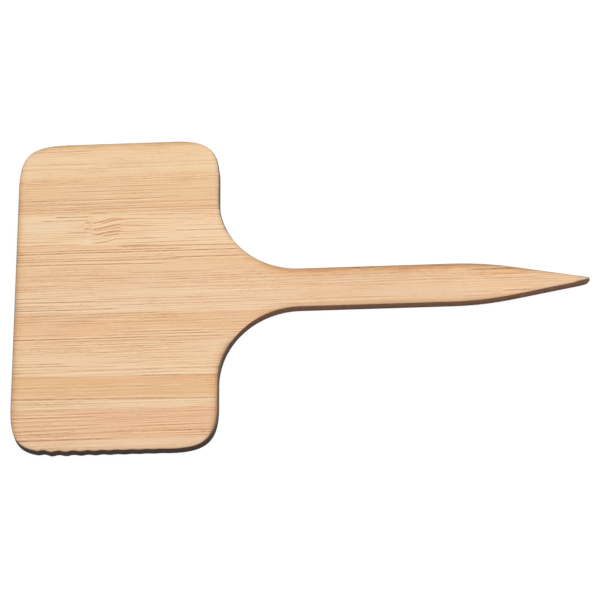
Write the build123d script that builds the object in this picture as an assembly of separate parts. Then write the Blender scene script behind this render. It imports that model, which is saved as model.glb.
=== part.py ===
from build123d import *
import math
import os

# A plant label stake lying on its back: a T shaped label, cut by laser from a thin panel of
# bamboo strips that are glued edge to edge. The grain of every strip runs along the label.
# Millimetres. +X runs from the plate to the point, +Z out of the writing face. The origin is on
# the back face, under the middle of the label. Right (+Y) and left (-Y) are as seen with the
# point down and the writing face towards the reader.

# The whole label
total_length = 100.0
thickness = 2.0

# Plate that carries the name of the plant
plate_width = 60.0
plate_length = 35.7
end_corner_size = 8.7
end_corner_handle_share = 0.80
shoulder_corner_size = 8.0
shoulder_corner_handle_share = 0.75

# Stem and point that go into the soil
stem_width = 7.4
straight_above_neck = 4.3
point_length = 18.5
point_shoulder_radius = 55.0
tip_radius = 0.22

# Ripple that the cutting head leaves along the left side as it settles after the corner
ripple_start = 10.7
ripple_pitch = 2.5
ripple_depth = 0.31
ripple_decay_length = 12.0
points_per_ripple = 8

# Strips of the panel. Each strip was sawn, planed and pressed by itself, so the widths differ
# a little, and the glued joints lean a little from the line of the label.
stem_strip_width = 7.6
side_strip_width = 6.2
right_width_shares = (0.90, 1.05, 1.01, 0.90)
left_width_shares = (0.92, 1.06, 1.02, 0.90)
right_joint_leans = (0.3, -1.0, 0.5, 0.2, 0.0)
left_joint_leans = (-0.7, 0.4, -1.1, -0.2, 0.0)
panel_overrun = 5.0


def soft_corner(start, corner, end, handle_share):
    """A corner that leaves its sides more gently than a plain round one."""
    first_handle = start + (corner - start) * handle_share
    last_handle = end + (corner - end) * handle_share
    return Bezier(start, first_handle, last_handle, end)


def ripple_inset(travel, whole_travel):
    """How far the cut lies inside its true line, after this much travel round the corner."""
    ripples = math.floor((whole_travel - ripple_start) / ripple_pitch)
    settled = travel - ripple_start
    if settled < 0 or settled > ripples * ripple_pitch:
        return 0.0
    wave = (1 - math.cos(2 * math.pi * settled / ripple_pitch)) / 2
    return ripple_depth * math.exp(-settled / ripple_decay_length) * wave


def rippled_edge(corner, side):
    """One curve along a corner and the side after it, with the ripple of the cut."""
    true_line = Wire([corner, side])
    travel = true_line.length
    steps = math.ceil(travel / ripple_pitch * points_per_ripple)
    points = []
    for step in range(steps + 1):
        share = step / steps
        inward = (true_line % share).rotate(Axis.Z, 90)
        points.append((true_line @ share) + inward * ripple_inset(share * travel, travel))
    return Spline(points, tangents=(true_line % 0, true_line % 1))


def label_outline():
    """The outline of the label as one face on the back plane."""
    end_x = -total_length / 2
    neck_x = end_x + plate_length
    side_y = plate_width / 2
    stem_y = stem_width / 2
    point_x = total_length / 2 - point_length

    # the neck's arc fills what is left of the shoulder, down to the side of the stem
    neck_radius = side_y - shoulder_corner_size - straight_above_neck - stem_y

    # the flanks of the point are tangent to the small circle of the tip
    tip_centre_x = total_length / 2 - tip_radius
    flank_reach = math.hypot(tip_centre_x - point_x, stem_y)
    half_angle = math.atan2(stem_y, tip_centre_x - point_x) - math.asin(tip_radius / flank_reach)
    sharp_tip_x = tip_centre_x + tip_radius / math.sin(half_angle)

    stem = FilletPolyline(
        (neck_x, side_y - shoulder_corner_size),
        (neck_x, stem_y),
        (point_x, stem_y),
        (sharp_tip_x, 0),
        (point_x, -stem_y),
        (neck_x, -stem_y),
        (neck_x, shoulder_corner_size - side_y),
        radius=(neck_radius, point_shoulder_radius, tip_radius, point_shoulder_radius, neck_radius),
    )

    end_inset = Vector(end_corner_size, 0)
    end_drop = Vector(0, end_corner_size)
    shoulder_inset = Vector(shoulder_corner_size, 0)
    shoulder_drop = Vector(0, shoulder_corner_size)
    end_right = Vector(end_x, side_y)
    end_left = Vector(end_x, -side_y)
    shoulder_right = Vector(neck_x, side_y)
    shoulder_left = Vector(neck_x, -side_y)

    corner_end_right = soft_corner(
        end_right + end_inset, end_right, end_right - end_drop, end_corner_handle_share
    )
    corner_end_left = soft_corner(
        end_left + end_drop, end_left, end_left + end_inset, end_corner_handle_share
    )
    corner_shoulder_right = soft_corner(
        shoulder_right - shoulder_drop, shoulder_right, shoulder_right - shoulder_inset,
        shoulder_corner_handle_share,
    )
    corner_shoulder_left = soft_corner(
        shoulder_left - shoulder_inset, shoulder_left, shoulder_left + shoulder_drop,
        shoulder_corner_handle_share,
    )
    side_right = Line(corner_shoulder_right @ 1, corner_end_right @ 0)
    plate_end = Line(corner_end_right @ 1, corner_end_left @ 0)
    side_left = Line(corner_end_left @ 1, corner_shoulder_left @ 0)

    loop = [
        stem,
        corner_shoulder_right,
        side_right,
        corner_end_right,
        plate_end,
        rippled_edge(corner_end_left, side_left),
        corner_shoulder_left,
    ]
    edges = [edge for curve in loop for edge in curve.edges()]
    return Face(Wire.combine(edges)[0])


def joint_line(offset, lean):
    """Both ends of a glued joint that crosses the middle of the plate at this offset."""
    middle_x = (plate_length - total_length) / 2
    reach = total_length / 2 + panel_overrun
    slope = math.tan(math.radians(lean))
    return [(x, offset + (x - middle_x) * slope) for x in (-reach, reach)]


def panel_edge(side):
    """An edge of the panel outside the label, on the side +1 or -1."""
    reach = total_length / 2 + panel_overrun
    return [(x, side * (plate_width / 2 + panel_overrun)) for x in (-reach, reach)]


def joints_outwards(side, width_shares, leans):
    """The joints on one side of the middle strip, from the inside out to the edge of the plate."""
    lines = []
    offset = stem_strip_width / 2
    while offset < plate_width / 2:
        turn = len(lines)
        lines.append(joint_line(side * offset, leans[turn % len(leans)]))
        offset += side_strip_width * width_shares[turn % len(width_shares)]
    return lines + [panel_edge(side)]


def strip_between(blank, first, second):
    """The part of the cut label that lies between two joints."""
    band = make_face(Polyline(first[0], first[1], second[1], second[0], close=True))
    return blank & extrude(band, amount=thickness, dir=Vector(0, 0, 1))


blank = extrude(label_outline(), amount=thickness, dir=Vector(0, 0, 1))
right_joints = joints_outwards(1, right_width_shares, right_joint_leans)
left_joints = joints_outwards(-1, left_width_shares, left_joint_leans)

strips = {"stem_strip": strip_between(blank, left_joints[0], right_joints[0])}
for side_name, joints in (("right", right_joints), ("left", left_joints)):
    for number in range(1, len(joints)):
        last = number == len(joints) - 1
        name = f"{side_name}_edge_strip" if last else f"{side_name}_strip_{number}"
        strips[name] = strip_between(blank, joints[number - 1], joints[number])

os.makedirs("parts", exist_ok=True)
for name, strip in strips.items():
    export_step(strip, f"parts/{name}.step")
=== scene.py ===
import logging
import math
from dataclasses import dataclass, field
from enum import Enum
from typing import NamedTuple

import bmesh
import bpy
from mathutils import Matrix, Vector
from mathutils.bvhtree import BVHTree


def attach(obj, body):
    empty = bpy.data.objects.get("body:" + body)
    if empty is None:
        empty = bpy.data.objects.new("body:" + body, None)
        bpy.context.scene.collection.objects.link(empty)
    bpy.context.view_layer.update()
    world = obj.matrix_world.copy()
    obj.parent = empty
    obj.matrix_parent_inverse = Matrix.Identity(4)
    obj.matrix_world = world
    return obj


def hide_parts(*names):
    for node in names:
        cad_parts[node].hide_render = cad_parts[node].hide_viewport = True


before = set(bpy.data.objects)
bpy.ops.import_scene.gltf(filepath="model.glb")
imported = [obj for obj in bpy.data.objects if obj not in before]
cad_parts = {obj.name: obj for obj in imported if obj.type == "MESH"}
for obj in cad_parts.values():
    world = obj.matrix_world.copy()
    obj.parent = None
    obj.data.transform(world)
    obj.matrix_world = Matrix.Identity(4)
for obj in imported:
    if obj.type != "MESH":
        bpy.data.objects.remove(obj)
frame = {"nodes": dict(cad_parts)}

log = logging.getLogger("plant_label")

MM = 0.001
PLATE_END_X = -50.0  # mm, where the plate ends in the label's frame
MID_HEIGHT = 1.0  # mm, half the label's thickness
ANY_HEIGHT = 30.0  # mm, so far that a patch is the same at every height of the label
NOISE_MIDDLE = 0.5  # the mean level of a noise

Colour = tuple[float, float, float, float]
Triple = tuple[float, float, float]
Fed = bpy.types.NodeSocket | float | tuple[float, ...]
Sockets = dict[str, bpy.types.NodeSocket]


def srgb(red: int, green: int, blue: int) -> Colour:
    """Turn a colour as it is seen on a screen into the linear one that a shader takes.

    Args:
        red: From 0 to 255.
        green: From 0 to 255.
        blue: From 0 to 255.

    Returns:
        The linear colour with an alpha of 1.
    """
    shares = [value / 255 for value in (red, green, blue)]
    linear = [s / 12.92 if s <= 0.04045 else ((s + 0.055) / 1.055) ** 2.4 for s in shares]
    return (linear[0], linear[1], linear[2], 1.0)


class Slot(Enum):
    """The record's material slots."""

    HONEY = "honey_bamboo"
    PALE = "pale_bamboo"
    BROWN = "brown_bamboo"


class Socket(Enum):
    """The kinds of socket that the effect groups have."""

    NUMBER = "NodeSocketFloat"
    VECTOR = "NodeSocketVector"
    COLOUR = "NodeSocketColor"


class FaceKind(Enum):
    """What made a face of a strip, which is also the material slot that it takes."""

    SANDED = 0
    CUT = 1


class Measure(Enum):
    """What a strip's mesh carries on its points: how far they lie off, in millimetres."""

    CUT = "cut_distance"
    JOINT = "joint_distance"


class Fade(NamedTuple):
    """A smooth passage: the low level where a value is at its start, the high one at its end."""

    start: float
    end: float
    low: float = 0.0
    high: float = 1.0


class NodeDesk:
    """Lays shader nodes into one tree, so that an effect reads like a formula."""

    # where a Mix node takes and gives colours
    MIX_SHARE, MIX_FIRST, MIX_SECOND, MIXED = 0, 6, 7, 2

    def __init__(self, tree: bpy.types.NodeTree) -> None:
        """Work on this tree."""
        self.tree = tree

    def add(self, kind: str, **settings: object) -> bpy.types.Node:
        """Add a node.

        Args:
            kind: Blender's name of the node.
            **settings: Its properties.

        Returns:
            The new node.
        """
        node = self.tree.nodes.new(kind)
        for name, value in settings.items():
            setattr(node, name, value)
        return node

    def feed(self, socket: bpy.types.NodeSocket, value: Fed) -> None:
        """Link a socket to another one, or give it a value.

        Args:
            socket: The input.
            value: An output socket, a number or a vector.
        """
        if isinstance(value, bpy.types.NodeSocket):
            self.tree.links.new(value, socket)
        else:
            socket.default_value = value

    def math(self, operation: str, *values: Fed) -> bpy.types.NodeSocket:
        """Work out a number.

        Args:
            operation: The Math node's operation.
            *values: Its inputs in order.

        Returns:
            The result.
        """
        node = self.add("ShaderNodeMath", operation=operation)
        for socket, value in zip(node.inputs, values):
            self.feed(socket, value)
        return node.outputs[0]

    def product(self, first: Fed, *others: Fed) -> bpy.types.NodeSocket:
        """Multiply numbers.

        Args:
            first: The first number.
            *others: One or more that it is multiplied by.

        Returns:
            The product.
        """
        result = first
        for other in others:
            result = self.math("MULTIPLY", result, other)
        return result

    def vector(self, operation: str, *values: Fed) -> bpy.types.NodeSocket:
        """Work out a vector.

        Args:
            operation: The Vector Math node's operation.
            *values: Its inputs in order.

        Returns:
            The resulting vector.
        """
        node = self.add("ShaderNodeVectorMath", operation=operation)
        for socket, value in zip(node.inputs, values):
            self.feed(socket, value)
        return node.outputs[0]

    def fade(self, value: Fed, start: Fed, end: Fed, low: Fed = 0.0,
             high: Fed = 1.0) -> bpy.types.NodeSocket:
        """Pass smoothly from one level to another.

        Args:
            value: What is followed.
            start: Its value at the low level.
            end: Its value at the high level.
            low: The level at the start.
            high: The level at the end.

        Returns:
            The level.
        """
        node = self.add("ShaderNodeMapRange", interpolation_type="SMOOTHSTEP")
        for socket, given in zip(node.inputs, (value, start, end, low, high)):
            self.feed(socket, given)
        return node.outputs[0]

    def noise(self, vector: Fed, seed: Fed, detail: float = 2.0,
              roughness: float = 0.55) -> bpy.types.NodeSocket:
        """Read a noise of scale 1.

        Args:
            vector: Where it is read.
            seed: Which of the many noises it is.
            detail: How many finer layers it has.
            roughness: How strong these are.

        Returns:
            Its level, from 0 to 1.
        """
        node = self.add("ShaderNodeTexNoise", noise_dimensions="4D")
        self.feed(node.inputs["Vector"], vector)
        self.feed(node.inputs["W"], seed)
        node.inputs["Scale"].default_value = 1.0
        node.inputs["Detail"].default_value = detail
        node.inputs["Roughness"].default_value = roughness
        return node.outputs[0]

    def mix(self, share: Fed, first: Fed, second: Fed,
            blend: str = "MIX") -> bpy.types.NodeSocket:
        """Mix two colours.

        Args:
            share: How much of the second one there is.
            first: The colour below.
            second: The colour above.
            blend: How the second one is laid over the first.

        Returns:
            The mixed colour.
        """
        node = self.add("ShaderNodeMix", data_type="RGBA", blend_type=blend)
        self.feed(node.inputs[self.MIX_SHARE], share)
        self.feed(node.inputs[self.MIX_FIRST], first)
        self.feed(node.inputs[self.MIX_SECOND], second)
        return node.outputs[self.MIXED]

    def parts(self, vector: Fed) -> list[bpy.types.NodeSocket]:
        """Split a vector.

        Args:
            vector: The vector.

        Returns:
            Its three numbers.
        """
        node = self.add("ShaderNodeSeparateXYZ")
        self.feed(node.inputs[0], vector)
        return list(node.outputs)

    def joined(self, *numbers: Fed) -> bpy.types.NodeSocket:
        """Join numbers into a vector.

        Args:
            *numbers: Its three numbers in order.

        Returns:
            The vector.
        """
        node = self.add("ShaderNodeCombineXYZ")
        for socket, value in zip(node.inputs, numbers):
            self.feed(socket, value)
        return node.outputs[0]

    def measured(self, measure: Measure) -> bpy.types.NodeSocket:
        """Read a measure that the mesh's points carry."""
        return self.add("ShaderNodeAttribute", attribute_name=measure.value).outputs["Fac"]

    def place(self, group: bpy.types.NodeTree, **inputs: Fed) -> bpy.types.Node:
        """Place an effect group.

        Args:
            group: The effect.
            **inputs: Its inputs, with an underscore for each space in a name.

        Returns:
            The group node.
        """
        node = self.add("ShaderNodeGroup", node_tree=group)
        for name, value in inputs.items():
            self.feed(node.inputs[name.replace("_", " ")], value)
        return node


class MaterialDesk(NodeDesk):
    """Lays the nodes of a new material and closes it with its only shader."""

    def __init__(self, name: str) -> None:
        """Start an empty material.

        Args:
            name: The material's name.
        """
        self.material = bpy.data.materials.new(name)
        self.material.use_nodes = True
        self.material.node_tree.nodes.clear()
        super().__init__(self.material.node_tree)

    def close(self, colour: Fed, roughness: Fed, specular: float, height: Fed,
              relief_strength: float, relief_depth: float) -> bpy.types.Material:
        """Close the material.

        Args:
            colour: The surface's colour.
            roughness: How dull it is.
            specular: How much light it mirrors.
            height: Its fine relief.
            relief_strength: How much of the relief shows.
            relief_depth: How far the relief reaches for each 1 of height.

        Returns:
            The material.
        """
        shader = self.add("ShaderNodeBsdfPrincipled")
        self.feed(shader.inputs["Base Color"], colour)
        self.feed(shader.inputs["Roughness"], roughness)
        shader.inputs["Specular IOR Level"].default_value = specular
        bump = self.add("ShaderNodeBump")
        bump.inputs["Strength"].default_value = relief_strength
        bump.inputs["Distance"].default_value = relief_depth
        self.feed(bump.inputs["Height"], height)
        self.feed(shader.inputs["Normal"], bump.outputs[0])
        leave = self.add("ShaderNodeOutputMaterial")
        self.feed(leave.inputs["Surface"], shader.outputs[0])
        return self.material


@dataclass(frozen=True)
class OvalPatch:
    """A soft oval place on the label, in millimetres from the plate's end and the middle."""

    along: float
    across: float
    reach_along: float
    reach_across: float
    level: float


# where the tan halo beside the cut is stronger, as the beam was slower there
HALO_PATCHES = (
    OvalPatch(0.0, -3.0, 5.0, 36.0, 0.8),
    OvalPatch(17.0, 30.0, 20.0, 4.0, 0.55),
    OvalPatch(36.0, -18.0, 4.0, 13.0, 0.95),
    OvalPatch(62.0, 3.7, 30.0, 4.0, 1.3),
    OvalPatch(84.0, 3.4, 10.0, 4.0, 1.6),
    OvalPatch(64.0, -3.7, 34.0, 4.0, 0.62),
)

# where the rim itself is charred more
CHAR_PATCHES = (
    OvalPatch(0.0, 0.0, 6.0, 38.0, 0.8),
    OvalPatch(16.0, 30.0, 26.0, 5.0, 0.65),
    OvalPatch(16.0, -30.0, 26.0, 5.0, 0.45),
    OvalPatch(36.0, -20.0, 6.0, 14.0, 2.6),
    OvalPatch(36.5, 19.0, 6.0, 13.0, 1.7),
    OvalPatch(43.0, 6.5, 9.0, 6.0, 0.8),
    OvalPatch(70.0, 3.7, 30.0, 3.5, 0.8),
    OvalPatch(92.0, 2.0, 12.0, 2.5, 0.85),
    OvalPatch(100.0, 0.0, 3.5, 3.0, 1.2),
)


class EffectShelf:
    """The shader groups that several of the label's finishes use, each built once.

    Its sizes are in millimetres. A scale says how fast a noise changes along and across the
    label and upright, and a noise's other two numbers are its detail and its roughness.
    """

    # how fibres waver together, and how they break off at a knuckle
    WAVE_SCALE: Triple = (0.055, 0.16, 0.1)
    BREAK_OFF = Fade(-0.15, 0.15)
    BREAK_TOP = 0.2
    BREAK_BOTTOM = -0.5
    SCAR_ALONG = Fade(1.5, 0.3)
    SCAR_ACROSS = Fade(-1.6, -2.8)
    SCAR_SCALE: Triple = (1.1, 1.3, 1.0)
    SCAR_SEED = 7.0
    SCAR_FLECKS = Fade(0.35, 0.6)

    # rows of fibres: how far they drift, and how fast drift and strength change across them
    ROW_DRIFT = 2.0
    DRIFT_ACROSS = 0.8
    STRENGTH_ACROSS = 1.3
    STRENGTH_SEED = 50.0
    ROW_STRENGTH = Fade(0.35, 0.65, 0.15, 1.0)

    # the grain's noises, and the pitch and the drift's length of its rows
    GRAIN_NOISES = {
        "Patches": ((0.13, 0.3, 0.3), 2.0, 0.5),
        "Streaks": ((0.03, 1.7, 1.2), 2.0, 0.5),
        "Hairs": ((0.9, 6.0, 3.0), 2.0, 0.6),
        "Specks": ((3.0, 4.5, 4.0), 2.0, 0.6),
        "Blush": ((0.05, 0.45, 0.4), 3.0, 0.6),
    }
    GRAIN_ROWS = {"Threads": (0.46, 34.0), "Fibres": (0.4, 6.0)}

    # a fibre line: how it changes along its way, and its flanks in shares of its width
    LINE_CHANGE = 0.35
    LINE_SEED_STEP = 3.7
    LONGEST_TAPER_SHARE = 0.3
    LINE_LEVEL = Fade(0.25, 0.75, 0.5, 1.2)
    LINE_WIDTH = Fade(0.2, 0.8, 0.75, 1.25)
    FLANK_END_SHARE = 2.6
    FLANK_CREST_SHARE = 1.4
    FLANK_START_SHARE = 0.5

    # the scorch beside the cut, whose reach is a little uneven
    PATCH_EDGE = Fade(1.0, 0.45)
    LEAST_HEAT = 0.05
    LEAST_CHAR = 0.15
    SCORCH_SCALE: Triple = (0.5, 1.1, 0.5)
    SCORCH_SEED = 4.0
    FAR_HALO_REACH = Fade(0.25, 0.75, 1.4, 3.0)
    COLD_REACH_SHARE = 0.5
    NEAR_HALO_REACH = Fade(0.3, 0.7, 0.7, 1.1)
    NEAR_HALO_HEAT_SHARE = 0.42
    NEAR_HALO_LEAST = 0.08
    CHAR_REACH = Fade(0.3, 0.7, 0.14, 0.24)
    CHAR_SPREAD = Fade(0.8, 2.6, 1.0, 1.6)
    CHAR_CORE = 0.03

    def __init__(self) -> None:
        """Build every effect."""
        self.label_place = self.build_label_place()
        self.fibre_path = self.build_fibre_path()
        self.fibre_ripple = self.build_fibre_ripple()
        self.bamboo_grain = self.build_bamboo_grain()
        self.fibre_line = self.build_fibre_line()
        self.oval_patch = self.build_oval_patch()
        self.scorched_rim = self.build_scorched_rim()

    def start(self, name: str, inputs: dict[str, Socket],
              outputs: dict[str, Socket]) -> tuple[NodeDesk, Sockets, Sockets]:
        """Start a group with its named sockets.

        Args:
            name: The effect's name.
            inputs: What it takes.
            outputs: What it gives.

        Returns:
            A desk on the group, the sockets with its inputs, and those that take its outputs.
        """
        tree = bpy.data.node_groups.new(name, "ShaderNodeTree")
        for label, kind in inputs.items():
            tree.interface.new_socket(label, in_out="INPUT", socket_type=kind.value)
        for label, kind in outputs.items():
            tree.interface.new_socket(label, in_out="OUTPUT", socket_type=kind.value)
        desk = NodeDesk(tree)
        entry = desk.add("NodeGroupInput")
        leave = desk.add("NodeGroupOutput")
        return desk, {n: entry.outputs[n] for n in inputs}, {n: leave.inputs[n] for n in outputs}

    def build_label_place(self) -> bpy.types.NodeTree:
        """Build the effect that tells how far a point is from the plate's end, in millimetres.

        Returns:
            The group.
        """
        desk, given, made = self.start(
            "label_place", {"Object": Socket.VECTOR}, {"Position": Socket.VECTOR})
        scaled = desk.vector("MULTIPLY", given["Object"], (1 / MM,) * 3)
        desk.feed(made["Position"], desk.vector("ADD", scaled, (-PLATE_END_X, 0.0, 0.0)))
        return desk.tree

    def position(self, desk: NodeDesk) -> bpy.types.NodeSocket:
        """Find the place on the label in a material, in millimetres from the plate's end.

        Args:
            desk: The material's desk.

        Returns:
            The place.
        """
        coordinates = desk.add("ShaderNodeTexCoord")
        place = desk.place(self.label_place, Object=coordinates.outputs["Object"])
        return place.outputs["Position"]

    def build_fibre_path(self) -> bpy.types.NodeTree:
        """Build the effect that bends the grain, so that fibres waver and dip past a knuckle.

        Returns:
            The group.
        """
        desk, given, made = self.start(
            "fibre_path",
            {"Position": Socket.VECTOR, "Seed": Socket.NUMBER, "Waver": Socket.NUMBER,
             "Knuckle Along": Socket.NUMBER, "Knuckle Across": Socket.NUMBER,
             "Knuckle Above": Socket.NUMBER, "Knuckle Below": Socket.NUMBER,
             "Knuckle Heal": Socket.NUMBER, "Knuckle Dip": Socket.NUMBER},
            {"Path": Socket.VECTOR, "Scar": Socket.NUMBER})
        along, across, height = desk.parts(given["Position"])

        # slow waves that neighbouring fibres share
        stretched = desk.vector("MULTIPLY", given["Position"], self.WAVE_SCALE)
        wave = desk.math("SUBTRACT", desk.noise(stretched, given["Seed"]), NOISE_MIDDLE)
        across = desk.math("MULTIPLY_ADD", wave, given["Waver"], across)

        # the fibres break off at the knuckle, start again lower and climb back
        past = desk.math("SUBTRACT", along, given["Knuckle Along"])
        broken = desk.fade(past, *self.BREAK_OFF)
        healed = desk.fade(past, self.BREAK_OFF.end, given["Knuckle Heal"], 1.0, 0.0)
        off = desk.math("SUBTRACT", across, given["Knuckle Across"])
        above = desk.fade(off, given["Knuckle Above"], self.BREAK_TOP)
        lowest = desk.math("MULTIPLY", given["Knuckle Below"], -1.0)
        inside = desk.product(above, desk.fade(off, lowest, self.BREAK_BOTTOM))
        dip = desk.product(broken, healed, inside, given["Knuckle Dip"])
        desk.feed(made["Path"], desk.joined(along, desk.math("ADD", across, dip), height))

        # pale tissue at the lower part of the break
        near = desk.fade(desk.math("ABSOLUTE", past), *self.SCAR_ALONG)
        near = desk.product(near, desk.fade(off, *self.SCAR_ACROSS))
        fleck = desk.vector("MULTIPLY", given["Position"], self.SCAR_SCALE)
        fleck = desk.noise(fleck, self.SCAR_SEED, detail=3.0)
        fleck = desk.fade(fleck, *self.SCAR_FLECKS)
        desk.feed(made["Scar"], desk.product(near, inside, fleck, given["Knuckle Dip"]))
        return desk.tree

    def build_fibre_ripple(self) -> bpy.types.NodeTree:
        """Build rows of fibres side by side, whose spacing and strength drift from place to place.

        Returns:
            The group.
        """
        desk, given, made = self.start(
            "fibre_ripple",
            {"Path": Socket.VECTOR, "Seed": Socket.NUMBER, "Pitch": Socket.NUMBER,
             "Length": Socket.NUMBER},
            {"Ripple": Socket.NUMBER})
        along, across, height = desk.parts(given["Path"])
        slow = desk.math("DIVIDE", along, given["Length"])
        drift = desk.joined(slow, desk.math("MULTIPLY", across, self.DRIFT_ACROSS), height)
        drift = desk.noise(drift, given["Seed"], detail=1.0)
        rows = desk.math("DIVIDE", across, given["Pitch"])
        rows = desk.math("MULTIPLY_ADD", drift, self.ROW_DRIFT, rows)
        wave = desk.math("SINE", desk.math("MULTIPLY", rows, math.tau))
        strength = desk.joined(slow, desk.math("MULTIPLY", across, self.STRENGTH_ACROSS), height)
        strength = desk.noise(strength, desk.math("ADD", given["Seed"], self.STRENGTH_SEED))
        strength = desk.fade(strength, *self.ROW_STRENGTH)
        desk.feed(made["Ripple"], desk.product(wave, strength))
        return desk.tree

    def build_bamboo_grain(self) -> bpy.types.NodeTree:
        """Build the grain of pressed bamboo, from broad streaks to threads, fibres and hairs.

        Returns:
            The group.
        """
        desk, given, made = self.start(
            "bamboo_grain", {"Path": Socket.VECTOR, "Seed": Socket.NUMBER},
            {label: Socket.NUMBER for label in (*self.GRAIN_NOISES, *self.GRAIN_ROWS)})
        for label, (scale, detail, roughness) in self.GRAIN_NOISES.items():
            stretched = desk.vector("MULTIPLY", given["Path"], scale)
            desk.feed(made[label], desk.noise(stretched, given["Seed"], detail, roughness))
        for label, (pitch, length) in self.GRAIN_ROWS.items():
            rows = desk.place(self.fibre_ripple, Path=given["Path"], Seed=given["Seed"],
                              Pitch=pitch, Length=length)
            desk.feed(made[label], rows.outputs["Ripple"])
        return desk.tree

    def build_fibre_line(self) -> bpy.types.NodeTree:
        """Build one dark fibre line with pale flanks, which fades at both ends and along its way.

        Returns:
            The group.
        """
        numbers = ("Along", "Across", "Lines Before", "Flanks Before", "Offset", "Start", "End",
                   "Rise", "Width", "Strength", "Taper")
        desk, given, made = self.start(
            "fibre_line", {label: Socket.NUMBER for label in numbers},
            {"Lines": Socket.NUMBER, "Flanks": Socket.NUMBER})
        along = given["Along"]
        gone = desk.math("SUBTRACT", along, given["Start"])
        left = desk.math("SUBTRACT", given["End"], along)
        middle = desk.math("MULTIPLY_ADD", gone, given["Rise"], given["Offset"])
        off = desk.math("ABSOLUTE", desk.math("SUBTRACT", given["Across"], middle))
        uneven = desk.joined(desk.math("MULTIPLY", along, self.LINE_CHANGE), 0.0, 0.0)
        seed = desk.math("MULTIPLY", given["Offset"], self.LINE_SEED_STEP)
        uneven = desk.noise(uneven, seed, detail=3.0, roughness=0.7)

        # a short line tapers over a share of its length at most
        taper = desk.math("MULTIPLY", desk.math("ADD", gone, left), self.LONGEST_TAPER_SHARE)
        taper = desk.math("MINIMUM", taper, given["Taper"])
        level = desk.product(desk.fade(gone, 0.0, taper), desk.fade(left, 0.0, taper),
                             given["Strength"], desk.fade(uneven, *self.LINE_LEVEL))
        width = desk.product(given["Width"], desk.fade(uneven, *self.LINE_WIDTH))
        core = desk.fade(off, width, 0.0)
        flank_end = desk.math("MULTIPLY", width, self.FLANK_END_SHARE)
        flank_crest = desk.math("MULTIPLY", width, self.FLANK_CREST_SHARE)
        flank_start = desk.math("MULTIPLY", width, self.FLANK_START_SHARE)
        flank = desk.math("SUBTRACT", desk.fade(off, flank_end, flank_crest),
                          desk.fade(off, width, flank_start))
        for label, shape in (("Lines", core), ("Flanks", flank)):
            strongest = desk.math("MAXIMUM", given[f"{label} Before"], desk.product(shape, level))
            desk.feed(made[label], strongest)
        return desk.tree

    def build_oval_patch(self) -> bpy.types.NodeTree:
        """Build a soft oval patch, which shows where it is stronger than those before it.

        Returns:
            The group.
        """
        desk, given, made = self.start(
            "oval_patch",
            {"Position": Socket.VECTOR, "Before": Socket.NUMBER, "Middle": Socket.VECTOR,
             "Reach": Socket.VECTOR, "Level": Socket.NUMBER},
            {"Level": Socket.NUMBER})
        off = desk.vector("SUBTRACT", given["Position"], given["Middle"])
        off = desk.vector("DIVIDE", off, given["Reach"])
        length = desk.add("ShaderNodeVectorMath", operation="LENGTH")
        desk.feed(length.inputs[0], off)
        patch = desk.product(desk.fade(length.outputs["Value"], *self.PATCH_EDGE), given["Level"])
        desk.feed(made["Level"], desk.math("MAXIMUM", given["Before"], patch))
        return desk.tree

    def level_of(self, desk: NodeDesk, position: bpy.types.NodeSocket, least: float,
                 *patches: OvalPatch) -> Fed:
        """Find the level of the strongest of some patches at a place.

        Args:
            desk: Where the nodes are placed.
            position: The place on the label.
            least: The level outside all patches.
            *patches: The patches.

        Returns:
            The level there.
        """
        level: Fed = least
        for patch in patches:
            node = desk.place(self.oval_patch, Position=position, Before=level,
                              Middle=(patch.along, patch.across, MID_HEIGHT),
                              Reach=(patch.reach_along, patch.reach_across, ANY_HEIGHT),
                              Level=patch.level)
            level = node.outputs["Level"]
        return level

    def build_scorched_rim(self) -> bpy.types.NodeTree:
        """Build what the beam does to the face beside its cut: a tan halo and a charred rim.

        Returns:
            The group.
        """
        desk, given, made = self.start(
            "scorched_rim",
            {"Color": Socket.COLOUR, "Position": Socket.VECTOR, "Cut Distance": Socket.NUMBER,
             "Near Halo Color": Socket.COLOUR, "Far Halo Color": Socket.COLOUR,
             "Char Color": Socket.COLOUR},
            {"Color": Socket.COLOUR, "Char": Socket.NUMBER})
        off = given["Cut Distance"]
        heat = self.level_of(desk, given["Position"], self.LEAST_HEAT, *HALO_PATCHES)
        char = self.level_of(desk, given["Position"], self.LEAST_CHAR, *CHAR_PATCHES)
        uneven = desk.vector("MULTIPLY", given["Position"], self.SCORCH_SCALE)
        uneven = desk.noise(uneven, self.SCORCH_SEED, detail=3.0, roughness=0.6)

        # the far halo reaches twice as far in full heat as in none
        cold = self.COLD_REACH_SHARE
        spread = desk.math("MULTIPLY_ADD", heat, 1.0 - cold, cold)
        far = desk.fade(off, desk.product(desk.fade(uneven, *self.FAR_HALO_REACH), spread), 0.0)
        colour = desk.mix(desk.product(far, heat), given["Color"], given["Far Halo Color"],
                          "MULTIPLY")
        near = desk.fade(off, desk.fade(uneven, *self.NEAR_HALO_REACH), 0.0)
        burnt = desk.math("MULTIPLY_ADD", desk.math("ADD", heat, char),
                          self.NEAR_HALO_HEAT_SHARE, self.NEAR_HALO_LEAST)
        colour = desk.mix(desk.product(near, burnt), colour, given["Near Halo Color"], "MULTIPLY")
        width = desk.fade(uneven, *self.CHAR_REACH)
        width = desk.product(width, desk.fade(char, *self.CHAR_SPREAD))
        rim = desk.fade(off, width, self.CHAR_CORE)
        charred = desk.math("MINIMUM", desk.product(rim, char), 1.0)
        desk.feed(made["Color"], desk.mix(charred, colour, given["Char Color"]))
        desk.feed(made["Char"], rim)
        return desk.tree


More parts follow.
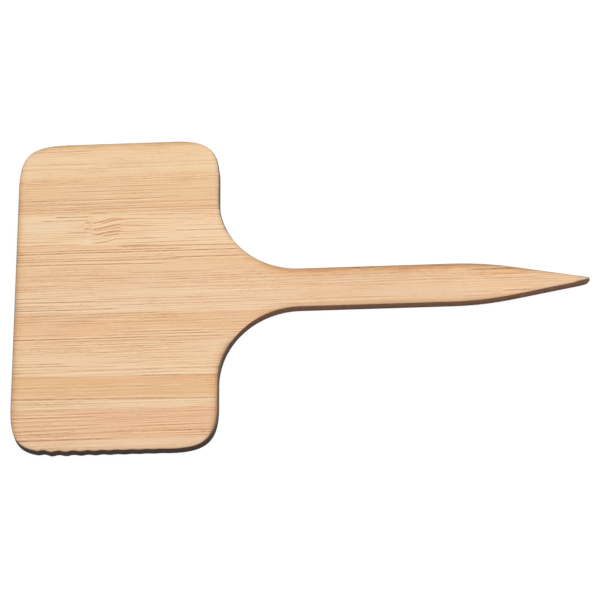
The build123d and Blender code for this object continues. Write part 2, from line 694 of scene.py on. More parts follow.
@dataclass(frozen=True)
class FibreLine:
    """A dark fibre line on a strip's face, in millimetres from the plate's end and the middle.

    Rise is how far it climbs to the right for each millimetre along the label.
    """

    across: float
    start: float
    end: float
    rise: float = 0.0
    width: float = 0.18
    strength: float = 0.45
    taper: float = 2.5


@dataclass(frozen=True)
class BrokenFibre(FibreLine):
    """A coarse dark fibre that starts and ends abruptly at a knuckle."""

    width: float = 0.24
    strength: float = 0.72
    taper: float = 0.7


@dataclass(frozen=True)
class Knuckle:
    """The place where the cane had a knuckle, in millimetres.

    The fibres from above to below it break off there, start again lower by the dip, and have
    climbed back after the heal.
    """

    along: float = 13.0
    across: float = 14.3
    above: float = 1.1
    below: float = 7.4
    heal: float = 5.3
    dip: float = 1.0

    def flushed(self) -> OvalPatch:
        """Give the rosy patch among the broken fibres."""
        return OvalPatch(along=self.along + 2.5, across=self.across - 1.2,
                         reach_along=self.heal, reach_across=3.0, level=1.0)

    def bleached(self) -> OvalPatch:
        """Give the pale patch between the plate's end and the break."""
        return OvalPatch(along=self.along - 9.0, across=self.across,
                         reach_along=10.0, reach_across=3.4, level=0.25)


@dataclass(frozen=True)
class BambooFinish:
    """The finish of one strip: its slot, its own tones and its own fibre lines.

    The strip passes from its flesh to its shade between two places across the label, in
    millimetres, on top of what the grain does.
    """

    slot: Slot
    seed: float
    flesh: Colour
    shade: Colour
    flesh_at: float
    shade_at: float
    lines: tuple[FibreLine, ...]
    line_colour: Colour = srgb(182, 122, 81)
    light_colour: Colour = srgb(255, 228, 188)
    blush: Colour = srgb(255, 249, 244)
    stem_tone: Colour = srgb(249, 245, 241)
    tissue: Colour = srgb(244, 226, 202)
    flush: Colour = srgb(253, 247, 241)
    bleach: Colour = srgb(243, 230, 198)
    near_halo: Colour = srgb(212, 215, 218)
    far_halo: Colour = srgb(246, 234, 217)
    char: Colour = srgb(112, 94, 80)
    knuckle: Knuckle | None = None

    # how the fibres waver, in millimetres, and how much tissue, flanks and glue show
    waver: float = 0.35
    tissue_share: float = 0.8
    flank_share: float = 0.6
    glue_share: float = 0.12
    glue_reach: float = 0.13

    # how patches and streaks shift the tones, where the blush sets in, and how pale the gaps
    # between the threads get
    patch_shift: Fade = Fade(0.3, 0.7, -0.15, 0.15)
    streak_shift: Fade = Fade(0.3, 0.7, -0.2, 0.2)
    blushing: Fade = Fade(0.35, 0.65)
    thread_light: Fade = Fade(0.0, -1.0, 0.0, 0.48)

    # the height, in millimetres, over which the fibre lines come in, so that the back has none
    on_face: Fade = Fade(0.7, 1.4)

    # along the label, the tones change and the threads calm down from the plate to the stem
    stem_change: Fade = Fade(40.0, 60.0)
    stem_calm: Fade = Fade(34.0, 46.0, 1.0, 0.6)

    # the threads are clearer in the blush, and the grain is denser in the shade
    least_clarity: float = 0.55
    blush_clarity: float = 0.9
    least_density: float = 0.7
    shade_density: float = 0.5

    # the sheen and the relief of the sanded face
    fibre_roughness: Fade = Fade(-1.0, 1.0, 0.64, 0.54)
    char_roughness: float = 0.2
    specular: float = 0.3
    row_height: float = -0.3
    relief_strength: float = 0.5
    relief_depth: float = 0.03 * MM

    # how dark each layer of the grain gets
    GRAIN_DEPTHS = {
        "Threads": Fade(0.05, 1.0, 0.0, 0.29),
        "Fibres": Fade(0.2, 1.0, 0.0, 0.32),
        "Hairs": Fade(0.5, 0.8, 0.0, 0.3),
        "Specks": Fade(0.5, 0.8, 0.0, 0.26),
    }

    def build(self, name: str, effects: EffectShelf) -> bpy.types.Material:
        """Build the material of the strip's sanded faces.

        Args:
            name: The strip's name.
            effects: The shared effects.

        Returns:
            The material.
        """
        desk = MaterialDesk(f"{name}_sanded")
        position = effects.position(desk)
        bend = self.knuckle or Knuckle(dip=0.0)
        bent = desk.place(
            effects.fibre_path, Position=position, Seed=self.seed, Waver=self.waver,
            Knuckle_Along=bend.along, Knuckle_Across=bend.across, Knuckle_Above=bend.above,
            Knuckle_Below=bend.below, Knuckle_Heal=bend.heal, Knuckle_Dip=bend.dip)
        path = bent.outputs["Path"]
        grain = desk.place(effects.bamboo_grain, Path=path, Seed=self.seed)
        colour = self.ground_colour(desk, position, grain)
        if self.knuckle:
            flushed = effects.level_of(desk, position, 0.0, self.knuckle.flushed())
            colour = desk.mix(flushed, colour, self.flush, "MULTIPLY")
            bleached = effects.level_of(desk, position, 0.0, self.knuckle.bleached())
            colour = desk.mix(bleached, colour, self.bleach)
        scar = desk.product(bent.outputs["Scar"], self.tissue_share)
        colour = desk.mix(scar, colour, self.tissue)
        lines, flanks = self.line_masks(desk, effects, path)
        colour = desk.mix(desk.product(flanks, self.flank_share), colour, self.light_colour)
        colour = desk.mix(lines, colour, self.line_colour)
        seam = desk.fade(desk.measured(Measure.JOINT), self.glue_reach, 0.0)
        colour = desk.mix(desk.product(seam, self.glue_share), colour, self.line_colour)
        rim = desk.place(effects.scorched_rim, Color=colour, Position=position,
                         Cut_Distance=desk.measured(Measure.CUT), Near_Halo_Color=self.near_halo,
                         Far_Halo_Color=self.far_halo, Char_Color=self.char)
        roughness = desk.fade(grain.outputs["Fibres"], *self.fibre_roughness)
        roughness = desk.math("MULTIPLY_ADD", rim.outputs["Char"], self.char_roughness, roughness)
        relief = desk.math("ADD", grain.outputs["Threads"], grain.outputs["Fibres"])
        relief = desk.math("MULTIPLY_ADD", relief, self.row_height, grain.outputs["Hairs"])
        return desk.close(rim.outputs["Color"], roughness, self.specular, relief,
                          self.relief_strength, self.relief_depth)

    def ground_colour(self, desk: NodeDesk, position: bpy.types.NodeSocket,
                      grain: bpy.types.Node) -> bpy.types.NodeSocket:
        """Colour the strip by its tones and its grain.

        Args:
            desk: The material's desk.
            position: The place on the label.
            grain: The grain group.

        Returns:
            The colour.
        """
        along, across, _ = desk.parts(position)
        shaded = desk.fade(across, self.flesh_at, self.shade_at)
        patches = desk.fade(grain.outputs["Patches"], *self.patch_shift)
        streaks = desk.fade(grain.outputs["Streaks"], *self.streak_shift)
        share = desk.math("ADD", shaded, desk.math("ADD", patches, streaks))
        share = desk.math("MINIMUM", desk.math("MAXIMUM", share, 0.0), 1.0)
        colour = desk.mix(share, self.flesh, self.shade)
        colour = desk.mix(desk.fade(along, *self.stem_change), colour, self.stem_tone, "MULTIPLY")

        # rosy streaks, where the fibres stand out more than in the calm ones between them
        blush = desk.fade(grain.outputs["Blush"], *self.blushing)
        colour = desk.mix(blush, colour, self.blush, "MULTIPLY")
        clarity = desk.math("MULTIPLY_ADD", blush, self.blush_clarity, self.least_clarity)
        calm = desk.fade(along, *self.stem_calm)
        light = desk.fade(grain.outputs["Threads"], *self.thread_light)
        colour = desk.mix(desk.product(light, clarity, calm), colour, self.light_colour)

        # the fibres lie closer on the side of the strip that was the outside of the cane
        dark: Fed = 0.0
        for label, depth in self.GRAIN_DEPTHS.items():
            layer = desk.fade(grain.outputs[label], *depth)
            if label == "Threads":
                layer = desk.product(layer, calm)
            dark = desk.math("ADD", dark, layer)
        dense = desk.math("MULTIPLY_ADD", share, self.shade_density, self.least_density)
        return desk.mix(desk.product(dark, dense, clarity), colour, self.line_colour)

    def line_masks(self, desk: NodeDesk, effects: EffectShelf,
                   path: bpy.types.NodeSocket) -> tuple[Fed, Fed]:
        """Lay the strip's own fibre lines.

        Args:
            desk: The material's desk.
            effects: The shared effects.
            path: The bent place on the label.

        Returns:
            How dark the lines are, and how pale their flanks are.
        """
        lines: Fed = 0.0
        flanks: Fed = 0.0
        along, across, height = desk.parts(path)
        for line in self.lines:
            node = desk.place(effects.fibre_line, Along=along, Across=across, Lines_Before=lines,
                              Flanks_Before=flanks, Offset=line.across, Start=line.start,
                              End=line.end, Rise=line.rise, Width=line.width,
                              Strength=line.strength, Taper=line.taper)
            lines = node.outputs["Lines"]
            flanks = node.outputs["Flanks"]
        facing = desk.fade(height, *self.on_face)
        return desk.product(lines, facing), desk.product(flanks, facing)


@dataclass(frozen=True)
class CharredCutFinish:
    """The wall that the beam cut: darker at the foot, lighter brown towards the face."""

    plate_foot: Colour = srgb(60, 46, 36)
    plate_rim: Colour = srgb(68, 50, 38)
    stem_foot: Colour = srgb(90, 68, 56)
    stem_rim: Colour = srgb(128, 87, 61)
    soot: Colour = srgb(40, 32, 28)
    toast: Colour = srgb(168, 118, 84)

    # along the label, the wall gets warmer past the plate and shows its fibres' ends at the point
    warming: Fade = Fade(33.0, 46.0)
    slanting: Fade = Fade(78.0, 88.0, 0.25, 1.0)

    # the beam's pulses stand upright in the wall, and the mottle and the fibres' ends lie along it
    pulse_scale: Triple = (4.0, 4.0, 0.25)
    mottle_scale: Triple = (0.7, 0.7, 1.6)
    ends_scale: Triple = (0.9, 0.9, 2.6)
    pulse_seed: float = 1.0
    mottle_seed: float = 2.0
    ends_seed: float = 5.0

    # from foot to rim in millimetres, and how far mottle and pulses move that passage
    rising: Fade = Fade(0.2, 1.8)
    mottle_shift: float = 1.6
    pulse_shift: float = 0.9
    sooting: Fade = Fade(0.5, 0.75, 0.0, 0.45)
    toasting: Fade = Fade(0.5, 0.72)
    toast_share: float = 0.55

    # the sheen and the relief of the wall
    pulse_roughness: Fade = Fade(0.3, 0.7, 0.72, 0.9)
    specular: float = 0.15
    mottle_height: float = 0.5
    relief_strength: float = 0.6
    relief_depth: float = 0.05 * MM

    def build(self, effects: EffectShelf) -> bpy.types.Material:
        """Build the material of the cut walls.

        Args:
            effects: The shared effects.

        Returns:
            The material.
        """
        desk = MaterialDesk("charred_cut")
        position = effects.position(desk)
        along, _, height = desk.parts(position)
        pulses = desk.vector("MULTIPLY", position, self.pulse_scale)
        pulses = desk.noise(pulses, self.pulse_seed, detail=2.0, roughness=0.6)
        mottle = desk.vector("MULTIPLY", position, self.mottle_scale)
        mottle = desk.noise(mottle, self.mottle_seed, detail=3.0, roughness=0.6)
        warm = desk.fade(along, *self.warming)
        # the wall is darker at its foot and lighter towards the face
        foot = desk.mix(warm, self.plate_foot, self.stem_foot)
        rim = desk.mix(warm, self.plate_rim, self.stem_rim)
        level = height
        for noise, shift in ((mottle, self.mottle_shift), (pulses, self.pulse_shift)):
            swing = desk.math("SUBTRACT", noise, NOISE_MIDDLE)
            level = desk.math("MULTIPLY_ADD", swing, shift, level)
        colour = desk.mix(desk.fade(level, *self.rising), foot, rim)
        colour = desk.mix(desk.fade(pulses, *self.sooting), colour, self.soot)

        # the slanting cut of the point opens the fibres' ends, which toast in streaks
        slanted = desk.fade(along, *self.slanting)
        ends = desk.vector("MULTIPLY", position, self.ends_scale)
        ends = desk.noise(ends, self.ends_seed, detail=3.0, roughness=0.7)
        toasted = desk.product(desk.fade(ends, *self.toasting), slanted, warm, self.toast_share)
        colour = desk.mix(toasted, colour, self.toast)
        roughness = desk.fade(pulses, *self.pulse_roughness)
        relief = desk.math("MULTIPLY_ADD", mottle, self.mottle_height, pulses)
        return desk.close(colour, roughness, self.specular, relief, self.relief_strength,
                          self.relief_depth)


@dataclass
class StripCutter:
    """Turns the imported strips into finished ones: softened rims, and a mesh fine enough to carry
    how far each point lies from the cut and from the glued joints."""

    rim_softening: float = 0.07 * MM
    rim_segments: int = 2
    mesh_pitch: float = 0.6 * MM
    weld_distance: float = 0.001 * MM
    sliver_width: float = 0.002 * MM
    flat_angle: float = math.radians(0.3)
    sharp_angle: float = math.radians(25)
    steepest_wall: float = 0.3  # the upright share of a wall's normal
    nearest_cut: float = 0.01  # mm, the distance within which a point lies on the cut
    corner_digits: int = 2  # of the millimetres by which a face is known

    # the end of the point, burnt back at its foot and a little at its face
    pointed_strip: str = "stem_strip"
    point_reach: float = 2.0 * MM
    foot_wear: float = 0.5 * MM
    face_wear: float = 0.14 * MM
    sound_depth_share: float = 0.25
    level_shares: tuple[float, ...] = (0.15, 0.3, 0.45, 0.6, 0.75, 0.9)

    strips: dict[str, bmesh.types.BMesh] = field(default_factory=dict)
    joint_keys: set[frozenset] = field(default_factory=set)
    cut_walls: BVHTree | None = None

    def load_strip(self, name: str, node: bpy.types.Object) -> None:
        """Take a copy of a packed strip and merge its loose triangles into plain faces.

        Args:
            name: The strip's name.
            node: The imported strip.
        """
        strip = bmesh.new()
        strip.from_mesh(node.data)
        bmesh.ops.remove_doubles(strip, verts=strip.verts, dist=self.weld_distance)
        bmesh.ops.dissolve_limit(strip, angle_limit=self.flat_angle, verts=strip.verts,
                                 edges=strip.edges)
        strip.normal_update()
        self.strips[name] = strip

    def key(self, face: bmesh.types.BMFace) -> frozenset:
        """Know a face by its rounded corners, which are the same on both sides of a joint."""
        return frozenset(
            tuple(round(c / MM, self.corner_digits) for c in v.co) for v in face.verts)

    def is_wall(self, face: bmesh.types.BMFace) -> bool:
        """Tell whether a face stands upright."""
        return abs(face.normal.z) < self.steepest_wall

    def find_joints(self) -> None:
        """Find the walls that two strips share, and keep all the others as the cut."""
        seen: set[frozenset] = set()
        for strip in self.strips.values():
            for face in strip.faces:
                if self.is_wall(face):
                    key = self.key(face)
                    if key in seen:
                        self.joint_keys.add(key)
                    seen.add(key)
        self.cut_walls = self.wall_tree(list(self.strips.values()), joints=False)

    def wall_tree(self, strips: list[bmesh.types.BMesh], joints: bool) -> BVHTree:
        """Gather walls in a tree that finds the nearest of them.

        Args:
            strips: Where the walls are taken from.
            joints: Whether the glued walls are taken, and not the cut ones.

        Returns:
            The tree.
        """
        walls = bmesh.new()
        for strip in strips:
            for face in strip.faces:
                if self.is_wall(face) and (self.key(face) in self.joint_keys) == joints:
                    walls.faces.new([walls.verts.new(v.co) for v in face.verts])
        tree = BVHTree.FromBMesh(walls)
        walls.free()
        return tree

    def finish_strip(self, name: str) -> bpy.types.Mesh:
        """Soften the rims of a strip, refine its mesh and measure it.

        Args:
            name: The strip's name.

        Returns:
            The finished mesh.
        """
        strip = self.strips[name]
        low, high = self.box_of(strip)
        joint_walls = self.wall_tree([strip], joints=True)
        rims = [e for e in strip.edges if self.is_rim(e)]
        bmesh.ops.bevel(strip, geom=rims, offset=self.rim_softening, offset_type="OFFSET",
                        segments=self.rim_segments, profile=0.5, affect="EDGES", material=-1)
        self.refine(strip)
        if name == self.pointed_strip:
            self.slice_point(strip, high)
        self.keep_inside(strip, low, high)
        self.drop_slivers(strip)
        self.measure(strip, joint_walls)
        if name == self.pointed_strip:
            self.wear_point(strip, high)
        mesh = bpy.data.meshes.new(f"{name}_bamboo")
        strip.to_mesh(mesh)
        strip.free()
        mesh.set_sharp_from_angle(angle=self.sharp_angle)
        return mesh

    def box_of(self, strip: bmesh.types.BMesh) -> tuple[list[float], list[float]]:
        """Find the lowest and the highest corner of a strip's box."""
        axes = list(zip(*(v.co for v in strip.verts)))
        return [min(axis) for axis in axes], [max(axis) for axis in axes]

    def is_rim(self, edge: bmesh.types.BMEdge) -> bool:
        """Tell whether an edge lies between a broad face and the cut.

        Args:
            edge: The edge.

        Returns:
            Whether it does.
        """
        walls = [f for f in edge.link_faces if self.is_wall(f)]
        return (len(edge.link_faces) == 2 and len(walls) == 1
                and self.key(walls[0]) not in self.joint_keys)

    def refine(self, strip: bmesh.types.BMesh) -> None:
        """Divide a strip by a grid of planes, square to the label.

        Args:
            strip: The strip.
        """
        for axis, normal in enumerate((Vector((1.0, 0.0, 0.0)), Vector((0.0, 1.0, 0.0)))):
            places = [v.co[axis] for v in strip.verts]
            first = math.floor(min(places) / self.mesh_pitch) + 1
            last = math.ceil(max(places) / self.mesh_pitch) - 1
            for step in range(first, last + 1):
                everything = strip.verts[:] + strip.edges[:] + strip.faces[:]
                bmesh.ops.bisect_plane(strip, geom=everything, dist=self.weld_distance,
                                       plane_co=normal * step * self.mesh_pitch, plane_no=normal)

    def slice_point(self, strip: bmesh.types.BMesh, high: list[float]) -> None:
        """Divide the walls of the point by level planes, so that they can be worn.

        Args:
            strip: The strip with the point.
            high: The highest corner of its box.
        """
        for share in self.level_shares:
            near = {v for v in strip.verts if v.co.x > high[0] - self.point_reach}
            verts = [v for v in strip.verts if v in near]
            edges = [e for e in strip.edges if near.issuperset(e.verts)]
            faces = [f for f in strip.faces if near.issuperset(f.verts)]
            bmesh.ops.bisect_plane(strip, geom=verts + edges + faces, dist=self.weld_distance,
                                   plane_co=(0.0, 0.0, high[2] * share), plane_no=(0.0, 0.0, 1.0))

    def keep_inside(self, strip: bmesh.types.BMesh, low: list[float], high: list[float]) -> None:
        """Hold every vertex inside the strip's own box, which softening may pass by a hair.

        Args:
            strip: The strip.
            low: The box's lowest corner.
            high: Its highest corner.
        """
        for vert in strip.verts:
            vert.co = Vector(min(max(c, a), b) for c, a, b in zip(vert.co, low, high))

    def drop_slivers(self, strip: bmesh.types.BMesh) -> None:
        """Remove faces without area, also those that splitting the walls' faces would give.

        Args:
            strip: The strip.
        """
        bmesh.ops.dissolve_degenerate(strip, dist=self.sliver_width, edges=strip.edges)
        bmesh.ops.triangulate(strip, faces=[f for f in strip.faces if self.is_wall(f)],
                              quad_method="BEAUTY", ngon_method="BEAUTY")
        bmesh.ops.dissolve_degenerate(strip, dist=self.sliver_width, edges=strip.edges)

        # a pair of faces between the same corners is a flap that belongs to neither side
        twins: dict[frozenset, list[bmesh.types.BMFace]] = {}
        for face in strip.faces:
            twins.setdefault(frozenset(face.verts), []).append(face)
        flaps = [face for faces in twins.values() if len(faces) > 1 for face in faces]
        bmesh.ops.delete(strip, geom=flaps, context="FACES")

    def measure(self, strip: bmesh.types.BMesh, joint_walls: BVHTree) -> None:
        """Give a strip's points their measures, and its faces the slot of what made them.

        Args:
            strip: The strip.
            joint_walls: Its glued walls.
        """
        cut_layer = strip.verts.layers.float.new(Measure.CUT.value)
        joint_layer = strip.verts.layers.float.new(Measure.JOINT.value)
        for vert in strip.verts:
            *_, cut_distance = self.cut_walls.find_nearest(vert.co)
            *_, joint_distance = joint_walls.find_nearest(vert.co)
            vert[cut_layer] = cut_distance / MM
            vert[joint_layer] = joint_distance / MM
        strip.normal_update()
        for face in strip.faces:
            face.smooth = True
            farthest = max(v[cut_layer] for v in face.verts)
            cut = self.is_wall(face) and farthest < self.nearest_cut
            face.material_index = (FaceKind.CUT if cut else FaceKind.SANDED).value

    def wear_point(self, strip: bmesh.types.BMesh, high: list[float]) -> None:
        """Round the end of the point upright, where the turning beam burnt the wood away.

        Args:
            strip: The strip with the point.
            high: The highest corner of its box.
        """
        sound = self.sound_depth_share
        for vert in strip.verts:
            past = (vert.co.x - high[0]) / self.point_reach + 1.0
            if past <= 0.0:
                continue
            depth = 1.0 - vert.co.z / high[2]
            foot = max(depth - sound, 0.0) / (1.0 - sound)
            face = max(1.0 - depth / sound, 0.0)
            worn = self.foot_wear * foot ** 2 + self.face_wear * face ** 2
            vert.co.x -= worn * past ** 2 * (3.0 - 2.0 * past)


@dataclass
class BambooLabel:
    """The label: eleven strips of bamboo that are glued edge to edge and cut as one."""

    finishes: dict[str, BambooFinish]
    wall: CharredCutFinish = field(default_factory=CharredCutFinish)
    cutter: StripCutter = field(default_factory=StripCutter)

    def build(self, nodes: dict[str, bpy.types.Object]) -> list[bpy.types.Object]:
        """Build and dress every strip.

        Args:
            nodes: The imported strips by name.

        Returns:
            The finished pieces.
        """
        effects = EffectShelf()
        charred = self.wall.build(effects)
        for name in self.finishes:
            self.cutter.load_strip(name, nodes[name])
        self.cutter.find_joints()
        pieces = []
        for name, finish in self.finishes.items():
            mesh = self.cutter.finish_strip(name)
            mesh.materials.append(finish.build(name, effects))
            mesh.materials.append(charred)
            piece = bpy.data.objects.new(f"{name}_bamboo", mesh)
            bpy.context.scene.collection.objects.link(piece)
            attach(piece, "root")
            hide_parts(name)
            pieces.append(piece)
        return pieces


STRIP_FINISHES = {
    "stem_strip": BambooFinish(
        Slot.HONEY, 1.7, srgb(243, 210, 174), srgb(240, 198, 156), -1.0, 4.5,
        (
            FibreLine(2.7, -4.0, 13.0, strength=0.25),
            FibreLine(1.7, -4.0, 9.0, strength=0.35),
            FibreLine(3.68, -4.0, 16.0, strength=0.45),
            FibreLine(1.8, 20.0, 34.0, strength=0.35),
            FibreLine(0.85, 20.0, 38.0, strength=0.42),
            FibreLine(-1.5, -4.0, 15.0, strength=0.62),
            FibreLine(-2.2, -4.0, 8.0, strength=0.58),
            FibreLine(-2.6, -3.0, 9.0, strength=0.4),
            FibreLine(-0.7, -4.0, 7.0, strength=0.55),
            FibreLine(-3.1, -4.0, 19.0, 0.005, strength=0.75),
            FibreLine(2.2, 38.0, 68.0, strength=0.42),
            FibreLine(1.7, 46.0, 68.0, strength=0.25),
            FibreLine(1.2, 52.0, 72.0, strength=0.34),
            FibreLine(1.61, 66.0, 78.5, -0.045, strength=0.39),
            FibreLine(0.7, 34.0, 46.0, strength=0.28),
            FibreLine(0.7, 61.0, 80.0, strength=0.38),
            FibreLine(-2.28, 33.0, 66.0, strength=0.4),
            FibreLine(-1.9, 76.0, 85.0, strength=0.34),
            FibreLine(-3.3, 46.0, 84.0, strength=0.16),
            FibreLine(2.4, 78.5, 88.5, 0.0, 0.28, 0.74),
            FibreLine(1.5, 82.0, 94.0, -0.02, strength=0.42),
            FibreLine(0.1, 86.0, 97.0, strength=0.28),
            FibreLine(-1.85, 84.0, 91.5, 0.015, 0.26, 0.56),
            FibreLine(0.6, 82.0, 92.0, strength=0.37),
            BrokenFibre(3.45, 58.6, 60.6, 0.02),
            BrokenFibre(3.5, 61.6, 62.8),
        )),
    "right_strip_1": BambooFinish(
        Slot.HONEY, 5.3, srgb(240, 202, 160), srgb(241, 197, 154), 5.0, 7.0,
        (
            FibreLine(8.54, -4.0, 31.0, -0.003, strength=0.78),
            FibreLine(8.1, -4.0, 40.0, -0.003, 0.2, 0.88),
            FibreLine(6.5, 7.0, 30.0, -0.005, 0.2, 0.72),
            FibreLine(6.5, -4.0, 9.0, strength=0.3),
            FibreLine(6.9, 8.0, 25.0, strength=0.5),
            FibreLine(6.7, 26.0, 42.0, 0.0, 0.22, 0.75),
            FibreLine(5.95, -4.0, 27.0, -0.012, 0.2, 0.8),
            FibreLine(9.2, 17.0, 40.0, -0.008, 0.34, 0.63),
            FibreLine(3.95, 19.0, 36.0, strength=0.4),
        )),
    "right_strip_2": BambooFinish(
        Slot.PALE, 9.1, srgb(246, 213, 172), srgb(246, 211, 170), 11.0, 17.0,
        (
            BrokenFibre(15.36, 6.5, 12.9, -0.02),
            BrokenFibre(14.62, 4.0, 12.8, strength=0.55),
            BrokenFibre(14.1, 11.8, 12.9),
            BrokenFibre(12.87, 11.6, 12.9),
            BrokenFibre(12.25, 8.8, 12.9, -0.01, strength=0.5),
            BrokenFibre(15.03, 13.0, 18.8, -0.035),
            BrokenFibre(14.54, 14.6, 19.6),
            BrokenFibre(13.65, 13.0, 18.6, -0.025, 0.28),
            BrokenFibre(13.3, 13.4, 18.6, -0.08),
            BrokenFibre(12.83, 13.0, 14.4, -0.3),
            BrokenFibre(12.55, 13.7, 18.6, -0.06, 0.28),
            BrokenFibre(12.3, 13.3, 15.3),
            BrokenFibre(11.83, 15.1, 18.3, -0.06),
            BrokenFibre(10.48, 13.2, 16.4, -0.02, 0.28),
            BrokenFibre(10.42, 15.2, 18.0, 0.14),
            FibreLine(14.72, 18.0, 34.0, -0.04, 0.2, 0.5),
            FibreLine(15.5, 17.5, 30.0, -0.022, 0.2, 0.33),
            FibreLine(13.52, 16.5, 25.0, -0.065, 0.22, 0.61),
            FibreLine(12.1, 16.5, 26.0, strength=0.35),
            FibreLine(12.0, 27.0, 40.0, 0.0, 0.2, 0.62),
            FibreLine(13.0, 28.0, 40.0, strength=0.35),
            FibreLine(10.4, 29.0, 40.0, strength=0.35),
            FibreLine(10.7, 16.5, 27.0, -0.005, 0.22, 0.51),
            FibreLine(10.7, -4.0, 8.5, -0.03, 0.3, 0.31),
            FibreLine(9.78, -2.0, 12.0, strength=0.6),
            FibreLine(9.8, 20.0, 36.0, strength=0.5),
        ), line_colour=srgb(188, 118, 80), knuckle=Knuckle()),
    "right_strip_3": BambooFinish(
        Slot.BROWN, 13.8, srgb(239, 199, 156), srgb(238, 195, 151), 22.0, 16.5,
        (
            FibreLine(21.2, 14.0, 26.0, strength=0.38),
            FibreLine(20.4, 7.0, 40.0, -0.003, strength=0.5),
            FibreLine(18.7, -4.0, 27.0, strength=0.66),
            FibreLine(17.9, -4.0, 40.0, strength=0.48),
            FibreLine(16.9, -4.0, 40.0, -0.004, strength=0.45),
            FibreLine(16.2, -4.0, 9.0, strength=0.28),
            FibreLine(15.97, 12.5, 16.4, 0.0, 0.24, 0.55),
        )),
    "right_strip_4": BambooFinish(
        Slot.PALE, 16.4, srgb(246, 214, 173), srgb(241, 204, 160), 26.0, 22.5,
        (
            FibreLine(26.2, -4.0, 15.0, -0.01, strength=0.28),
            FibreLine(25.05, -4.0, 40.0, 0.004, strength=0.28),
            FibreLine(26.0, 27.0, 40.0, strength=0.22),
            FibreLine(22.6, 13.0, 22.0, strength=0.28),
        )),
    "right_edge_strip": BambooFinish(
        Slot.HONEY, 20.2, srgb(244, 207, 165), srgb(240, 202, 158), 28.5, 30.0,
        (
            FibreLine(28.6, -1.0, 14.0, strength=0.47),
        )),
    "left_strip_1": BambooFinish(
        Slot.BROWN, 24.6, srgb(240, 197, 157), srgb(238, 193, 151), -8.0, -4.0,
        (
            FibreLine(-4.1, -4.0, 26.0, 0.002, strength=0.47),
            FibreLine(-4.6, 8.0, 20.0, strength=0.4),
            FibreLine(-5.2, -4.0, 15.0, strength=0.28),
            FibreLine(-5.7, 16.0, 42.0, strength=0.42),
            FibreLine(-7.0, -4.0, 9.0, strength=0.22),
            FibreLine(-7.7, 18.0, 34.0, 0.0, 0.22, 0.72),
            FibreLine(-8.2, 15.0, 36.0, strength=0.56),
            FibreLine(-8.85, 24.0, 38.0, strength=0.55),
            FibreLine(-7.9, -4.0, 9.0, strength=0.5),
            FibreLine(-8.7, -4.0, 25.0, 0.0, 0.2, 0.8),
            FibreLine(-9.2, 6.0, 24.0, strength=0.52),
        )),
    "left_strip_2": BambooFinish(
        Slot.PALE, 28.8, srgb(244, 209, 169), srgb(244, 209, 170), -13.0, -9.5,
        (
            FibreLine(-10.3, -4.0, 15.0, strength=0.22),
            FibreLine(-11.5, 14.0, 24.0, strength=0.4),
            FibreLine(-11.8, 21.0, 36.0, strength=0.4),
            FibreLine(-12.4, 14.0, 22.0, strength=0.38),
            FibreLine(-12.8, 22.5, 31.0, strength=0.5),
            FibreLine(-13.4, -4.0, 10.0, strength=0.68),
            FibreLine(-13.9, -4.0, 12.0, strength=0.72),
            FibreLine(-14.85, 8.0, 40.0, 0.0, 0.2, 0.55),
            FibreLine(-13.55, 14.0, 24.0, strength=0.48),
            FibreLine(-16.02, 21.0, 40.0, -0.0192, 0.22, 0.7),
            FibreLine(-15.4, 20.0, 31.0, strength=0.3),
            FibreLine(-14.2, 12.0, 19.0, strength=0.33),
        )),
    "left_strip_3": BambooFinish(
        Slot.BROWN, 32.1, srgb(236, 191, 144), srgb(242, 211, 171), -20.1, -20.6,
        (
            FibreLine(-18.08, 6.0, 26.0, strength=0.6),
            FibreLine(-18.0, -4.0, 8.0, strength=0.35),
            FibreLine(-19.95, -4.0, 40.0, -0.018, 0.28, 0.58),
            FibreLine(-22.2, -4.0, 16.0, strength=0.5),
            FibreLine(-18.4, 24.0, 36.0, -0.01, strength=0.22),
        )),
    "left_strip_4": BambooFinish(
        Slot.HONEY, 36.5, srgb(238, 191, 151), srgb(239, 193, 152), -23.5, -26.5,
        (
            FibreLine(-23.05, 10.0, 36.0, strength=0.36),
            FibreLine(-23.6, -4.0, 16.0, 0.0, 0.2, 0.74),
            FibreLine(-24.1, 22.0, 38.0, strength=0.38),
            FibreLine(-25.15, -4.0, 17.0, strength=0.48),
            FibreLine(-26.1, -4.0, 40.0, 0.017, strength=0.52),
            FibreLine(-26.85, 6.0, 20.0, 0.017, strength=0.25),
            FibreLine(-27.78, -4.0, 18.0, 0.0, 0.22, 0.9),
        )),
    "left_edge_strip": BambooFinish(
        Slot.HONEY, 40.3, srgb(242, 206, 170), srgb(239, 199, 160), -28.5, -30.0,
        (
            FibreLine(-28.6, 5.0, 20.0, strength=0.2),
        )),
}


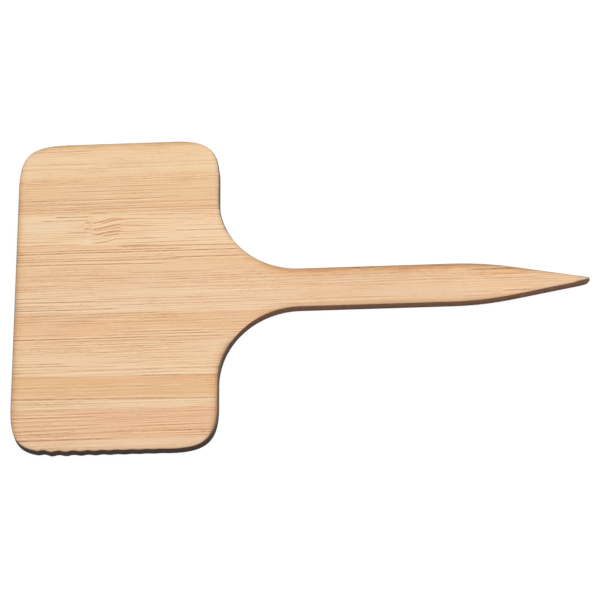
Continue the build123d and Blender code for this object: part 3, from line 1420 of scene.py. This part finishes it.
@dataclass(frozen=True)
class Studio:
    """A plain pale floor under soft white light from all round."""

    white: Colour = (1.0, 1.0, 1.0, 1.0)
    floor_size: float = 4.0
    floor_gap: float = 0.02 * MM
    paper: Colour = (0.1, 0.1, 0.1, 1.0)
    paper_roughness: float = 0.9
    paper_glow: float = 0.95
    sky: float = 0.6
    key_power: float = 4.05
    key_size: float = 0.5
    key_place: Triple = (0.45, 0.35, 0.6)

    def build(self) -> bpy.types.Object:
        """Build the floor and the lights.

        Returns:
            The floor.
        """
        floor = self.build_floor()
        self.build_sky()
        self.build_key_light()
        bpy.context.scene.view_settings.view_transform = "Standard"
        return floor

    def build_floor(self) -> bpy.types.Object:
        """Build the floor, a hair below the label's back.

        Returns:
            The floor.
        """
        slab = bmesh.new()
        bmesh.ops.create_grid(slab, x_segments=1, y_segments=1, size=self.floor_size / 2)
        bmesh.ops.translate(slab, verts=slab.verts, vec=(0.0, 0.0, -self.floor_gap))
        mesh = bpy.data.meshes.new("studio_floor")
        slab.to_mesh(mesh)
        slab.free()
        floor = bpy.data.objects.new("studio_floor", mesh)
        bpy.context.scene.collection.objects.link(floor)
        paper = bpy.data.materials.new("studio_paper")
        paper.use_nodes = True
        shader = paper.node_tree.nodes["Principled BSDF"]
        shader.inputs["Base Color"].default_value = self.paper
        shader.inputs["Roughness"].default_value = self.paper_roughness
        shader.inputs["Specular IOR Level"].default_value = 0.0
        shader.inputs["Emission Color"].default_value = self.white
        shader.inputs["Emission Strength"].default_value = self.paper_glow
        mesh.materials.append(paper)
        return floor

    def build_sky(self) -> None:
        """Build the even white light from all round."""
        world = bpy.data.worlds.new("studio_light")
        world.use_nodes = True
        background = world.node_tree.nodes["Background"]
        background.inputs["Color"].default_value = self.white
        background.inputs["Strength"].default_value = self.sky
        bpy.context.scene.world = world

    def build_key_light(self) -> None:
        """Build the soft box, which stands beyond the point, on the label's right."""
        lamp = bpy.data.lights.new("soft_box", "AREA")
        lamp.size = self.key_size
        lamp.energy = self.key_power
        key = bpy.data.objects.new("soft_box", lamp)
        key.location = self.key_place
        key.rotation_euler = (-Vector(self.key_place)).to_track_quat("-Z", "Y").to_euler()
        bpy.context.scene.collection.objects.link(key)


@dataclass(frozen=True)
class PhotographCamera:
    """The camera that stands where the photographer's stood."""

    place: Triple = (0.024866, -0.246682, 0.479614)
    right: Triple = (0.99841459, -0.00676213, -0.05588007)
    up: Triple = (0.03142344, 0.890615, 0.45367112)
    back: Triple = (0.04669985, -0.45470781, 0.8894155)
    lens: float = 185.94
    sensor_width: float = 36.0

    def build(self) -> bpy.types.Object:
        """Build the camera and make it the scene's.

        Returns:
            The camera.
        """
        data = bpy.data.cameras.new("photograph_camera")
        data.lens = self.lens
        data.sensor_width = self.sensor_width
        data.dof.use_dof = False
        camera = bpy.data.objects.new("photograph_camera", data)
        turn = Matrix((self.right, self.up, self.back)).transposed().to_4x4()
        camera.matrix_world = Matrix.Translation(self.place) @ turn
        bpy.context.scene.collection.objects.link(camera)
        bpy.context.scene.camera = camera
        return camera


def main() -> None:
    """Build the camera, the studio and the label, and report each piece."""
    logging.basicConfig(level=logging.INFO, format="%(message)s")
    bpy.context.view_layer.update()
    camera = PhotographCamera().build()
    log.info("%s: %.2f mm lens", camera.name, camera.data.lens)
    floor = Studio().build()
    log.info("%s: %d face", floor.name, len(floor.data.polygons))
    for piece in BambooLabel(STRIP_FINISHES).build(frame["nodes"]):
        log.info("%s: %d faces", piece.name, len(piece.data.polygons))


if __name__ == "__main__":
    main()
